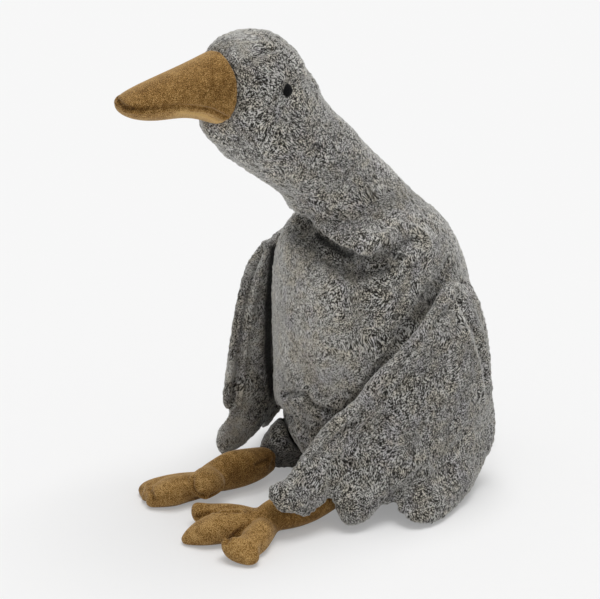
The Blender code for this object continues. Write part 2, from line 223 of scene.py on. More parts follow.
BEAK_SEAM = ((119, 103), (124, 107), (137, 109), (150, 108), (163, 107), (180, 106),
             (197, 107), (212, 110), (229, 119))
BEAK_PIPING = ((181, 112), (190, 113), (201, 115), (212, 119), (221, 124), (227, 128))
BEAK_LIP = ((117, 99), (121, 103), (126, 107), (133, 109))
FOOT_SEAMS = {
    "left": (((226, 543), (234, 535), (243, 528), (253, 521)),
             ((198, 517), (210, 513), (226, 512), (244, 512))),
    "right": (((256, 465), (264, 462), (273, 459)),
              ((193, 478), (193, 488), (198, 494), (208, 496)),
              ((210, 496), (219, 491), (225, 483)),
              ((151, 489), (153, 496), (156, 503))),
}
# The middle lines of the legs, where painted shade makes the nap darker than on the toes.
LEG_LINES = {"left": ((280, 524), (296, 521), (316, 512)),
             "right": ((236, 474), (252, 462), (272, 452))}

# How creases are sewn: their pixels, and in millimetres their width, depth and shoulders. A
# depth below 0 stands out.
NECK_CREASES = (
    (NECK_FOLD_END, 6.5, 6, 3), (NECK_FOLD_PIT, 5, 11, 0), (WING_SHADOW, 5, 3, 0),
    (CHEST_HOLLOW, 12, 8, 0), (SHOULDER_ROLL, 5, 2.5, 2), (SHOULDER_TUCK, 9, 5, 0),
)
SEAMS = ((SEAT_SEAM, 2.5, 3, 2), (CROWN_DART, 2.2, 1.8, 1), (CROWN_SEAM, 2.2, 1.2, 0.5))
WING_CREASES = {
    "left": ((LEFT_WING_STITCHING, 2.4, 2.5, 1.5), (LEFT_WING_REAR_FOLD, 5, 3, 1.5),
             (LEFT_WING_FIRST_NOTCH, 4, 3, 1.5), (LEFT_WING_SECOND_NOTCH, 4, 3, 1.5)),
    "right": ((RIGHT_WING_RIDGE, 3.5, 5, 3),),
}
BEAK_CREASES = ((BEAK_SEAM, 1.8, 2.0, 0.8), (BEAK_PIPING, 1.3, -1.3, 0), (BEAK_LIP, 1.6, 1.2, 0.8))
# The width and depth of the neck's fold, and the width, depth and shoulders of a foot's seam.
NECK_FOLD_SIZE = (4 * MM, 8 * MM)
FOOT_SEAM_SIZE = (1.8 * MM, 1.1 * MM, 0.7 * MM)
# Where a cover hangs over: its reach, how far it rises above the line and sinks below it.
NECK_OVERHANG = (15 * MM, 7 * MM, 9 * MM)
SEAT_OVERHANG = (16 * MM, 2 * MM, 8 * MM)

# Where the beak's velour is painted paler, or darker below 0: painted shade along the seam and
# the lip, paler along the piping and below it, and a little darker high above the seam. Along
# which crease, how far above it and how wide in millimetres, and how much.
BEAK_TONE_AND_SHADE = ((0, 0, 1.4, -0.22), (1, 0, 1.6, 0.25), (1, -3.5, 9, 0.12), (0, 22, 22, -0.05),
             (2, 0, 1.3, -0.12))
# The same on the feet: painted shade along their seams, painted light on their swellings, and
# painted shade on the legs.
FOOT_SEAM_SHADE = -0.10
SWELLING_LIGHT = 0.025
LEG_REACH = 16 * MM
LEG_SHADE = -0.075

# Where each cover is drawn from and to, as pixels, and over what radius in millimetres.
HIDE_PULLS = (((203, 127), (196, 127), 13), ((313, 78), (318, 78), 16),
              ((280, 410), (289, 411), 10), ((292, 462), (316, 454), 22))
WING_PULLS = {
    "left": (((280, 502), (267, 490), 14), ((290, 523), (287, 513), 10),
             ((337, 508), (331, 500), 8), ((350, 398), (357, 400), 20)),
    "right": (((221, 410), (228, 411), 6), ((300, 412), (268, 413), 19),
              ((284, 424), (274, 425), 14)),
}
THIGH_PULLS = {"thigh_right": (((274, 432), (278, 422), 12), ((290, 470), (300, 452), 17))}
FOOT_PULLS = {
    "left": (((231, 550), (223, 542), 10), ((266, 552), (260, 549), 9),
             ((199, 513), (194, 503), 10)),
    "right": (((212, 496), (208, 496), 8), ((232, 460), (229, 456), 17),
              ((277, 466), (272, 461), 8), ((138, 491), (142, 495), 7)),
}
# Swellings, and hollows below 0: their pixels, and in millimetres their radius and how far
# they stand out.
HEAD_SWELLINGS = (((214, 126), 16, 10), ((296, 62), 18, 4), ((352, 138), 20, 4),
                  ((252, 33), 16, -2))
SEAT_SWELLINGS = tuple((pixel, 7, 3) for pixel in SEAT_BAND)
WING_SWELLINGS = {
    "left": (((280, 492), 13, 3), ((292, 500), 14, 3), ((346, 512), 15, 4), ((362, 510), 15, 3),
             ((415, 510), 14, 4), ((438, 504), 14, 3), ((464, 476), 18, 3), ((400, 440), 30, 3)),
    "right": (((231, 395), 12, 3), ((226, 440), 12, 4), ((222, 414), 7, -7),
              ((255, 420), 12, 3), ((252, 330), 14, 3)),
}
FOOT_SWELLINGS = {
    "left": (((222, 526), 12, 4), ((206, 533), 10, 3), ((240, 542), 10, 3), ((262, 524), 12, 2)),
    "right": (((176, 492), 13, 4), ((250, 464), 14, 3), ((226, 481), 10, 3), ((209, 482), 9, 3)),
}
# Painted shade in the folds, hollows and seams, where the pile is painted darker: their pixels,
# their width in millimetres, and how dark the painted shade is.
PAINTED_SHADE_LINES = (
    (NECK_FOLD, 4, 0.5), (NECK_FOLD_END, 5, 0.45), (NECK_FOLD_PIT, 6, 1.0),
    (CHEST_HOLLOW, 13, 0.25), (SHOULDER_TUCK, 8, 0.35), (WING_SHADOW, 4.5, 0.42),
    (SEAT_SEAM, 2.5, 0.4), (CROWN_DART, 1.6, 0.15), (CROWN_SEAM, 1.6, 0.12),
)
# The same painted shade on the right wing, with the most that it may be: along its ridge, and on
# the strip that is pressed to the body, in the dark gap between them.
RIGHT_WING_PAINTED_SHADE = ((RIGHT_WING_RIDGE, 3, 0.4, 0.4), (RIGHT_WING_STRIP, 6, 1.4, 0.99))
# Places where the pile is brushed smooth and paler, and where it is ruffled: the column, row
# and radius in pixels, and how much. An amount above 1 paints the pile paler still, as painted
# light, and the places on the right wing are painted light where it lies in shade.
SMOOTH_AND_LIT_PLACES = (
    (250, 270, 9, 1.0), (248, 310, 9, 1.2), (247, 350, 9, 1.3), (231, 370, 10, 2.4),
    (245, 400, 10, 1.6), (236, 430, 16, 2.8), (300, 290, 34, 1.1), (300, 340, 40, 1.25),
    (330, 370, 34, 1.1), (290, 262, 22, 1.0), (243, 42, 14, 1.0),
)
RUFFLED_PLACES = ((300, 405, 14, 1.0), (325, 415, 12, 1.0), (395, 285, 34, 1.0),
                  (440, 420, 45, 1.0), (345, 215, 34, 1.0))


def rgb(hex_colour):
    """Linear red, green and blue of an sRGB hex colour."""
    levels = [int(hex_colour[start:start + 2], 16) / 255 for start in (1, 3, 5)]
    return [level / 12.92 if level <= 0.04045 else ((level + 0.055) / 1.055) ** 2.4
            for level in levels]


def length_property(name, description, default_mm, most_mm):
    """A length that a user can change, kept in metres."""
    return bpy.props.FloatProperty(name=name, description=description, default=default_mm * MM,
                                   min=0.0001, max=most_mm * MM, precision=5, subtype="DISTANCE",
                                   unit="LENGTH")


def colour_property(name, description, hex_colour):
    """A colour that a user can change, kept as linear values."""
    return bpy.props.FloatVectorProperty(name=name, description=description, subtype="COLOR",
                                         size=3, min=0.0, max=1.0, default=rgb(hex_colour))


class GooseSizes(bpy.types.PropertyGroup):
    """Sizes of the pile, the seams and the stitches."""

    strand: length_property("Pile strand", "Thickness of the strands of clinging pile", 0.88, 6)
    tuft_spacing: length_property("Tuft spacing", "From one small tuft to the next", 3.8, 20)
    tuft_height: length_property("Tuft height", "How far the small tufts stand out", 1.3, 5)
    clump_spacing: length_property("Clump spacing", "From one ruffled clump to the next", 11, 40)
    clump_height: length_property("Clump height", "How far the clumps stand out", 0.8, 6)
    filling_reach: length_property("Filling", "The most it pushes a plush cover out", 3.5, 12)
    nap: length_property("Nap", "Grain of the brushed velour", 0.72, 5)


class GooseColours(bpy.types.PropertyGroup):
    """Colours of the fabrics and the floor."""

    plush_tip: colour_property("Plush tips", "Plush where its strands catch light", "#DBDAD5")
    plush_middle: colour_property("Plush middle", "Plush halfway down its strands", "#716E67")
    # The gaps' colour is painted shade: near black, down between the strands.
    plush_gap_shade: colour_property("Plush gaps", "Plush down between its strands", "#1F1D1A")
    plush_warm: colour_property("Plush warm tint", "Patches where the dye took warmer", "#FFFAF0")
    plush_cool: colour_property("Plush cool tint", "Patches where the dye took cooler", "#F6F5FB")
    velour_nap: colour_property("Velour nap", "Velour brushed towards the eye", "#CFAB71")
    velour_middle: colour_property("Velour middle", "Velour with its nap upright", "#98713C")
    velour_shade: colour_property("Velour shade", "Velour brushed away from the eye", "#553B1B")
    thread: colour_property("Eye thread", "Black embroidery thread", "#050506")
    thread_gloss: colour_property("Eye thread's tops", "Where its fibres stand out", "#0A0A0B")
    floor: colour_property("Floor", "Pale studio floor", "#F3F3F3")


def sizes():
    """The panel's sizes."""
    return bpy.context.scene.goose_sizes


def colours():
    """The panel's colours."""
    return bpy.context.scene.goose_colours


# The photograph's camera, and lines read off the photograph.


def camera_axes():
    """The camera's right, up and back directions, from the photograph."""
    right = Vector((math.cos(CAMERA_AZIMUTH), math.sin(CAMERA_AZIMUTH), 0))
    level_back = Vector((math.sin(CAMERA_AZIMUTH), -math.cos(CAMERA_AZIMUTH), 0))
    back = level_back * math.cos(CAMERA_ELEVATION) + Vector((0, 0, math.sin(CAMERA_ELEVATION)))
    return right, back.cross(right), back


def sight(pixel):
    """Where the camera is, and the direction in which it sees that pixel."""
    right, up, back = camera_axes()
    across = (pixel[0] - PHOTO_WIDTH / 2) / FOCAL
    rise = (PHOTO_HEIGHT / 2 - pixel[1]) / FOCAL
    return CAMERA_TARGET + back * CAMERA_DISTANCE, (right * across + up * rise - back).normalized()


def tree_of(mesh):
    """A search tree of a mesh's faces."""
    return BVHTree.FromPolygons([vertex.co for vertex in mesh.vertices],
                                [tuple(face.vertices) for face in mesh.polygons])


def seen_place(mesh, pixel):
    """The point of a mesh at that pixel, or else its vertex that lies nearest to it."""
    start, direction = sight(pixel)
    place = tree_of(mesh).ray_cast(start, direction)[0]
    if place is not None:
        return np.array(place)
    points = points_of(mesh)
    offset = points - np.array(start)
    along = offset @ np.array(direction)
    gap = np.linalg.norm(offset - along[:, None] * np.array(direction), axis=1)
    return points[gap.argmin()]


def photo_line(mesh, pixels):
    """The points of a mesh that the photograph's line of pixels lies over."""
    tree = tree_of(mesh)
    line = []
    for start, end in zip(pixels, pixels[1:]):
        steps = max(1, round(math.dist(start, end) / CREASE_STEP))
        for step in range(steps):
            share = step / steps
            pixel = [low + (high - low) * share for low, high in zip(start, end)]
            place = tree.ray_cast(*sight(pixel))[0]
            if place is not None:
                line.append(place)
    return np.array(line)


# Mesh work.


def points_of(mesh):
    """A mesh's vertices as rows of x, y and z."""
    points = np.empty(len(mesh.vertices) * 3)
    mesh.vertices.foreach_get("co", points)
    return points.reshape(-1, 3)


def normals_of(mesh):
    """A mesh's vertex normals as rows."""
    normals = np.empty(len(mesh.vertices) * 3)
    mesh.vertex_normals.foreach_get("vector", normals)
    return normals.reshape(-1, 3)


def move_points(mesh, points):
    """Put a mesh's vertices at those rows."""
    mesh.vertices.foreach_set("co", points.ravel())
    mesh.update()


def apply_modifiers(piece):
    """Replace a piece's mesh by what its modifiers make of it."""
    graph = bpy.context.evaluated_depsgraph_get()
    mesh = bpy.data.meshes.new_from_object(piece.evaluated_get(graph))
    piece.modifiers.clear()
    piece.data = mesh


def piece_of(name, form):
    """A new piece with that form, which is freed."""
    mesh = bpy.data.meshes.new(name)
    form.to_mesh(mesh)
    form.free()
    piece = bpy.data.objects.new(name, mesh)
    bpy.context.scene.collection.objects.link(piece)
    return piece


def soft_copy(name, *nodes):
    """A new piece with the joined shape of those solids."""
    form = bmesh.new()
    for node in nodes:
        form.from_mesh(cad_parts[node].data)
    bmesh.ops.remove_doubles(form, verts=form.verts[:], dist=WELD)
    return piece_of(name, form)


def remesh(piece, voxel):
    """Give a piece an even mesh of that fineness."""
    modifier = piece.modifiers.new("Even mesh", "REMESH")
    modifier.mode = "VOXEL"
    modifier.voxel_size = voxel
    modifier.use_smooth_shade = True
    apply_modifiers(piece)


def relax(mesh, rounds, weight=0.5):
    """Draw each vertex towards the middle of its neighbours, by a weight for all or each."""
    points = points_of(mesh)
    ends = np.empty(len(mesh.edges) * 2, dtype=np.int64)
    mesh.edges.foreach_get("vertices", ends)
    first, second = ends.reshape(-1, 2).T
    count = np.bincount(ends, minlength=len(points))
    for _ in range(rounds):
        for axis in range(3):
            values = points[:, axis]
            total = np.bincount(first, values[second], len(points))
            total += np.bincount(second, values[first], len(points))
            points[:, axis] = values + (total / count - values) * weight
    move_points(mesh, points)


def nearest_on_line(points, line):
    """How far each point is from a line of points, and the place there that it is nearest."""
    distance = np.full(len(points), np.inf)
    place = np.zeros_like(points)
    for start, end in zip(line, line[1:]):
        along = end - start
        share = np.clip((points - start) @ along / max(along @ along, TINY), 0, 1)
        foot = start + share[:, None] * along
        gap = np.linalg.norm(points - foot, axis=1)
        closer = gap < distance
        distance[closer] = gap[closer]
        place[closer] = foot[closer]
    return distance, place


def bell(distance, width):
    """1 on a line, and near 0 beyond twice the width from it."""
    return np.exp(-(distance / width) ** 2)


def beside(points, line, width):
    """How much each point lies along a line of points."""
    return bell(nearest_on_line(points, line)[0], width)


def press(mesh, line, width, depth, shoulder=0.0):
    """Sink a crease of that width and depth along a line, and raise its two shoulders."""
    if len(line) < 2:
        raise RuntimeError("a crease line misses its piece")
    points = points_of(mesh)
    distance, _ = nearest_on_line(points, line)
    push = (shoulder * bell(distance - SHOULDER_PLACE * width, width)
            - depth * bell(distance, width))
    move_points(mesh, points + normals_of(mesh) * push[:, None])


def sew(mesh, creases):
    """Sink a table's creases, one after another."""
    for pixels, width, depth, shoulder in creases:
        press(mesh, photo_line(mesh, pixels), width * MM, depth * MM, shoulder * MM)


def overhang(mesh, line, reach, rise, sink):
    """Let the cover above a line bulge over the cover below it."""
    points = points_of(mesh)
    distance, place = nearest_on_line(points, line)
    above = points[:, 2] > place[:, 2]
    push = np.where(above, rise * bell(distance - RISE_PLACE * reach, reach),
                    -sink * bell(distance - SINK_PLACE * reach, reach))
    move_points(mesh, points + normals_of(mesh) * push[:, None])


def swell(mesh, swellings):
    """Raise a table's round swellings, and sink its hollows."""
    for pixel, radius, height in swellings:
        points = points_of(mesh)
        gap = np.linalg.norm(points - seen_place(mesh, pixel), axis=1)
        push = height * MM * bell(gap, radius * MM)
        move_points(mesh, points + normals_of(mesh) * push[:, None])


def pull(mesh, pulls):
    """Draw the cover that lies at each pixel of a table over to another."""
    right, up, back = (np.array(axis) for axis in camera_axes())
    for pixel, target, radius in pulls:
        place = seen_place(mesh, pixel)
        depth = CAMERA_DISTANCE - (place - np.array(CAMERA_TARGET)) @ back
        shift = (right * (target[0] - pixel[0]) + up * (pixel[1] - target[1])) * depth / FOCAL
        points = points_of(mesh)
        share = bell(np.linalg.norm(points - place, axis=1), radius * MM)
        move_points(mesh, points + shift * share[:, None])


def near_nodes(points, nodes, reach):
    """Which points lie within reach of any of those CAD nodes."""
    near = np.zeros(len(points), dtype=bool)
    for node in nodes:
        tree = tree_of(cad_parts[node].data)
        near |= [tree.find_nearest(point, reach)[0] is not None for point in points]
    return near


def keep_above_floor(mesh):
    """Press flat whatever reaches down to the floor."""
    points = points_of(mesh)
    points[:, 2] = np.maximum(points[:, 2], FLOOR_GAP)
    move_points(mesh, points)


def plump(piece, sewn, reach):
    """Let the filling push a cover out by cloth simulation, held where it is sewn."""
    scene = bpy.context.scene
    held = piece.vertex_groups.new(name="sewn")
    held.add(np.flatnonzero(sewn).tolist(), 1.0, "REPLACE")
    filling = piece.modifiers.new("Filling", "CLOTH")
    filling.settings.quality = CLOTH_QUALITY
    filling.settings.vertex_group_mass = held.name
    filling.settings.use_pressure = True
    filling.settings.uniform_pressure_force = FILLING_PRESSURE
    filling.settings.effector_weights.gravity = 0.0
    filling.point_cache.frame_start = 1
    filling.point_cache.frame_end = FILLING_STEPS
    before = points_of(piece.data)
    for number in range(1, FILLING_STEPS + 1):
        scene.frame_set(number)
    graph = bpy.context.evaluated_depsgraph_get()
    after = points_of(piece.evaluated_get(graph).data)
    piece.modifiers.remove(filling)
    piece.vertex_groups.remove(held)
    scene.frame_set(1)
    move = after - before
    length = np.linalg.norm(move, axis=1)
    move *= np.minimum(1, reach / np.maximum(length, TINY))[:, None]
    move_points(piece.data, before + move)


# Pile.


def keep_attribute(mesh, name, values):
    """Keep one value per vertex for the materials."""
    attribute = mesh.attributes.new(name, "FLOAT", "POINT")
    attribute.data.foreach_set("value", values)


def in_places(points, places):
    """How much each point lies in round places of the photograph, seen by the camera."""
    share = np.zeros(len(points))
    right, up, back = (np.array(axis) for axis in camera_axes())
    offset = points - np.array(CAMERA_TARGET) - back * CAMERA_DISTANCE
    depth = -(offset @ back)
    across = PHOTO_WIDTH / 2 + FOCAL * (offset @ right) / depth
    down = PHOTO_HEIGHT / 2 - FOCAL * (offset @ up) / depth
    for column, row, radius, amount in places:
        share = np.maximum(share, amount * bell(np.hypot(across - column, down - row), radius))
    return share


def grow_pile(mesh, lay, crushed, pivot=(0.0, 0.0, 0.0), bare=0.0):
    """Raise the pile on a cover in small tufts and ruffled clumps, and keep for the colours
    the height, the smoothness with its painted light, the painted shade and the combed place
    of every vertex. Lay is the direction in which the pile is brushed, one for all or one per
    vertex. Painted shade is how much darker folds and gaps between parts are painted, and bare
    where a stitch holds it down."""
    own = sizes()
    points = points_of(mesh)
    normals = normals_of(mesh)
    # Brushed smooth places, with painted light where their amount is above 1.
    smooth = in_places(points, SMOOTH_AND_LIT_PLACES)
    smooth *= 1 - in_places(points, RUFFLED_PLACES)
    smooth *= np.clip(normals @ np.array(camera_axes()[2]) * TURN_AWAY, 0, 1)
    lay = np.broadcast_to(lay, points.shape) / np.linalg.norm(lay, axis=-1, keepdims=True)
    heights = np.empty(len(points))
    combed = np.empty_like(points)
    for index, point in enumerate(points):
        place = Vector(point)
        swirl = noise.noise_vector(place * (1 / WHORL_SIZE)) * WHORL_SHIFT
        swirl += noise.noise_vector(place * (1 / CURL_SIZE)) * CURL_SHIFT
        tuft = noise.noise((place + swirl * TUFT_SHIFT) / own.tuft_spacing)
        clump = noise.noise(place / own.clump_spacing)
        heights[index] = MIDDLE_HEIGHT + TUFT_WEIGHT * tuft + CLUMP_WEIGHT * clump
        combed[index] = place + swirl - Vector(pivot)
    combed -= (combed * lay).sum(axis=1, keepdims=True) * lay * COMBING
    calm = 1 - BRUSHING * np.minimum(smooth, 1)
    length = (heights - MIDDLE_HEIGHT) * (own.tuft_height + own.clump_height) * calm
    length = length * (1 - bare) - STITCH_DEPTH * bare
    move_points(mesh, points + normals * length[:, None])
    keep_attribute(mesh, "pile", heights)
    keep_attribute(mesh, "smooth", smooth)
    keep_attribute(mesh, "crushed", crushed)
    attribute = mesh.attributes.new("combed", "FLOAT_VECTOR", "POINT")
    attribute.data.foreach_set("vector", combed.ravel())
    keep_above_floor(mesh)


# Materials. A texture's scale is 1 over the width of its features in metres.


def add_node(tree, kind, settings=None, **links):
    """Add a node. Settings set its properties, inputs or ramp stops, and links feed its
    inputs, which are named, or numbered after an i."""
    node = tree.nodes.new(kind)
    for name, value in (settings or {}).items():
        if name == "stops":
            elements = node.color_ramp.elements
            for element, (place, colour) in zip(elements, (value[0], value[-1])):
                element.position = place
                element.color = (*colour, 1)
            for place, colour in value[1:-1]:
                elements.new(place).color = (*colour, 1)
        elif isinstance(name, int) or name in node.inputs:
            node.inputs[name].default_value = value
        else:
            setattr(node, name, value)
    for name, source in links.items():
        key = int(name[1:]) if name[1:].isdigit() else name.replace("_", " ")
        tree.links.new(source, node.inputs[key])
    return node


def new_material(name):
    """An empty material with its Principled shader."""
    material = bpy.data.materials.new(name)
    material.use_nodes = True
    return material, material.node_tree, material.node_tree.nodes["Principled BSDF"]


def painted_sheen_rim(tree, tone, colour, start, most):
    """A tone with a painted sheen: a paler rim where the surface is seen edge on."""
    edge = add_node(tree, "ShaderNodeLayerWeight", {"Blend": 0.5}).outputs["Facing"]
    rim = add_node(tree, "ShaderNodeMapRange", {"From Min": start, "From Max": 1.0, "To Max": most},
                   Value=edge).outputs["Result"]
    return add_node(tree, "ShaderNodeMix", {"data_type": "RGBA", 7: (*colour, 1)},
                    i0=rim, i6=tone).outputs[2]


def finish_shader(tree, shader, tone, height, strength, depth, **values):
    """Give a shader its colour, its relief, and the constants of its own sockets."""
    tree.links.new(tone, shader.inputs["Base Color"])
    bump = add_node(tree, "ShaderNodeBump", {"Strength": strength, "Distance": depth},
                    Height=height)
    tree.links.new(bump.outputs["Normal"], shader.inputs["Normal"])
    for name, value in values.items():
        shader.inputs[name.replace("_", " ")].default_value = value


def curly_cotton_plush():
    """Knitted cotton plush, washed so that its short pile clings in strands. The eye sees pale
    matte tips and short dark gaps of painted shade, calmer and paler where it is brushed smooth,
    paler still where light is painted on, painted shade in folds and between parts, a painted
    sheen on its rim where it is seen edge on, and faint patches of uneven dye."""
    own = colours()
    strand = sizes().strand
    material, tree, shader = new_material("curly cotton plush")
    place = add_node(tree, "ShaderNodeTexCoord").outputs["Object"]
    combed, pile, smooth, crushed = (
        add_node(tree, "ShaderNodeAttribute", {"attribute_name": name}).outputs[kind]
        for name, kind in (("combed", "Vector"), ("pile", "Fac"), ("smooth", "Fac"),
                           ("crushed", "Fac")))
    strands = add_node(tree, "ShaderNodeTexNoise", {
        "Scale": 1 / strand, "Detail": 1.5, "Roughness": 0.55},
        Vector=combed).outputs["Fac"]
    gaps = add_node(tree, "ShaderNodeTexNoise", {
        "Scale": 1 / (GAP_STRANDS * strand), "Detail": 1.0}, Vector=combed).outputs["Fac"]
    mingled = add_node(tree, "ShaderNodeMath", {"operation": "MULTIPLY_ADD", 1: GAP_WEIGHT},
                       i0=gaps, i2=strands).outputs[0]
    height = add_node(tree, "ShaderNodeMath", {"operation": "MULTIPLY_ADD", 1: PILE_WEIGHT},
                      i0=pile, i2=mingled).outputs[0]
    # Brushing lowers the darkest level, and painted light lowers it further, so the pile is painted
    # paler.
    lowest = add_node(tree, "ShaderNodeMath", {
        "operation": "MULTIPLY_ADD", 1: -SMOOTH_AND_LIT_DROP, 2: GAP_LEVEL}, i0=smooth).outputs[0]
    share = add_node(tree, "ShaderNodeMapRange", {"From Max": TIP_LEVEL}, Value=height,
                     From_Min=lowest).outputs["Result"]
    # The ramp runs from the gaps' painted shade through the middle to the tips, which catch painted
    # light.
    tone = add_node(tree, "ShaderNodeValToRGB", {"stops": (
        (0.0, own.plush_gap_shade), (0.44, own.plush_middle), (1.0, own.plush_tip))},
        i0=share).outputs["Color"]
    for size, detail, lie, low, high, tint in (
            (14 * MM, 4.0, place, 0.45, 0.62, own.plush_warm),
            (15 * MM, 3.0, combed, 0.48, 0.66, own.plush_cool)):
        patch = add_node(tree, "ShaderNodeTexNoise", {"Scale": 1 / size, "Detail": detail},
                         Vector=lie).outputs["Fac"]
        amount = add_node(tree, "ShaderNodeMapRange", {"From Min": low, "From Max": high},
                          Value=patch).outputs["Result"]
        tone = add_node(tree, "ShaderNodeMix", {
            "data_type": "RGBA", "blend_type": "MULTIPLY", 7: (*tint, 1)},
            i0=amount, i6=tone).outputs[2]
    # Painted sheen on the plush's rim, towards its tips' colour.
    sheened = painted_sheen_rim(tree, tone, own.plush_tip, 0.45, 0.6)
    # Painted shade: the tone is drawn towards the gaps' colour in folds and between parts.
    shaded_tone = add_node(tree, "ShaderNodeMix", {
        "data_type": "RGBA", "blend_type": "MULTIPLY", 7: (*own.plush_gap_shade, 1)},
        i0=crushed, i6=sheened).outputs[2]
    finish_shader(tree, shader, shaded_tone, mingled, 1.0, 1.2 * MM, Roughness=1.0,
                  Specular_IOR_Level=0.1, Sheen_Weight=0.2, Sheen_Roughness=0.6)
    return material


def brushed_cotton_velour():
    """Cotton velour with a brushed nap. The eye sees a fine matte grain, paler where the nap
    leans towards it, darker in brushed strokes, painted shade in the seams and on the legs,
    painted light on the feet's swellings, paler and darker bands on the beak, and a painted
    sheen on its rim."""
    own = colours()
    nap = sizes().nap
    material, tree, shader = new_material("brushed cotton velour")
    place = add_node(tree, "ShaderNodeTexCoord").outputs["Object"]
    grain = add_node(tree, "ShaderNodeTexNoise", {
        "Scale": 1 / nap, "Detail": 2.0, "Roughness": 0.7}, Vector=place).outputs["Fac"]
    strokes = add_node(tree, "ShaderNodeTexNoise", {
        "Scale": 1 / (9 * MM), "Detail": 3.0, "Distortion": 0.8},
        Vector=place).outputs["Fac"]
    # The velour's tone with its painted shade and painted light, kept on the mesh.
    wear = add_node(tree, "ShaderNodeAttribute", {"attribute_name": "wear"}).outputs["Fac"]
    leaning = add_node(tree, "ShaderNodeMath", {"operation": "MULTIPLY_ADD", 1: STROKE_WEIGHT},
                       i0=strokes, i2=grain).outputs[0]
    grain_and_painted_light = add_node(tree, "ShaderNodeMath", {"operation": "ADD"}, i0=leaning,
                    i1=wear).outputs[0]
    share = add_node(tree, "ShaderNodeMapRange", {"From Min": SHADE_LEVEL, "From Max": NAP_LEVEL},
                     Value=grain_and_painted_light).outputs["Result"]
    tone = add_node(tree, "ShaderNodeValToRGB", {"stops": (
        (0.0, own.velour_shade), (0.5, own.velour_middle), (1.0, own.velour_nap))},
        i0=share).outputs["Color"]
    # Painted sheen on the velour's rim, towards its nap's colour.
    sheened = painted_sheen_rim(tree, tone, own.velour_nap, 0.55, 0.4)
    finish_shader(tree, shader, sheened, grain, 0.8, 0.5 * MM, Roughness=1.0,
                  Specular_IOR_Level=0.1, Sheen_Weight=0.15, Sheen_Roughness=0.4)
    return material


def embroidery_thread():
    """Mercerised cotton, laid in satin stitch. The eye sees a black oval, faintly glossy along
    its threads."""
    material, tree, shader = new_material("mercerised embroidery thread")
    place = add_node(tree, "ShaderNodeTexCoord").outputs["Object"]
    twist = add_node(tree, "ShaderNodeTexNoise", {
        "Scale": 1 / (0.5 * MM), "Detail": 2.0}, Vector=place).outputs["Fac"]
    tone = add_node(tree, "ShaderNodeValToRGB", {"stops": (
        (0.3, colours().thread), (0.8, colours().thread_gloss))}, i0=twist).outputs["Color"]
    finish_shader(tree, shader, tone, twist, 0.5, 0.1 * MM, Roughness=0.5,
                  Specular_IOR_Level=0.12)
    return material


def studio_floor():
    """Matte painted floor. The eye sees an even pale ground with pale shadows, since part of
    its brightness to the camera is its own."""
    own = colours()
    material, tree, shader = new_material("matte studio floor")
    shader.inputs["Base Color"].default_value = (*own.floor, 1)
    shader.inputs["Roughness"].default_value = 1.0
    shader.inputs["Specular IOR Level"].default_value = 0.0
    glow = add_node(tree, "ShaderNodeEmission", {"Color": (*own.floor, 1), "Strength": 1.0})
    seen = add_node(tree, "ShaderNodeLightPath").outputs["Is Camera Ray"]
    share = add_node(tree, "ShaderNodeMath", {"operation": "MULTIPLY", 1: FLOOR_GLOW}, i0=seen)
    mixed = add_node(tree, "ShaderNodeMixShader", i0=share.outputs[0], i1=shader.outputs["BSDF"],
                     i2=glow.outputs["Emission"])
    tree.links.new(mixed.outputs["Shader"], tree.nodes["Material Output"].inputs["Surface"])
    return material


# The material of each slot: its name, and the function that makes it.
FINISHES = {
    "grey_plush": ("curly cotton plush", curly_cotton_plush),
    "ochre_velour": ("brushed cotton velour", brushed_cotton_velour),
    "black_thread": ("mercerised embroidery thread", embroidery_thread),
}


def finish_piece(piece, slot, *nodes):
    """Give a piece its slot's material, shade it smooth, hide the solids that it stands for, and
    hang it from the root.
    """
    name, make = FINISHES[slot]
    piece.data.materials.clear()
    piece.data.materials.append(bpy.data.materials.get(name) or make())
    piece.data.shade_smooth()
    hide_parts(*nodes)
    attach(piece, "root")


# Pieces.


def cut_out(piece, name, keep):
    """A new piece with the faces of another whose middles pass a test."""
    form = bmesh.new()
    form.from_mesh(piece.data)
    gone = [face for face in form.faces if not keep(face.calc_center_median())]
    bmesh.ops.delete(form, geom=gone, context="FACES")
    return piece_of(name, form)


def filled_cover(node, coarse, rounds, pulls, neighbour, sewn, reach, fine):
    """A node's cover: meshed coarsely, relaxed and drawn to the photograph's outline, filled up
    to a reach while it is held within the sewn distance of its neighbour, and meshed finely."""
    cover = soft_copy(node + "_cover", node)
    remesh(cover, coarse)
    relax(cover.data, rounds)
    pull(cover.data, pulls)
    plump(cover, near_nodes(points_of(cover.data), (neighbour,), sewn), reach)
    remesh(cover, fine)
    relax(cover.data, rounds=3)
    return cover


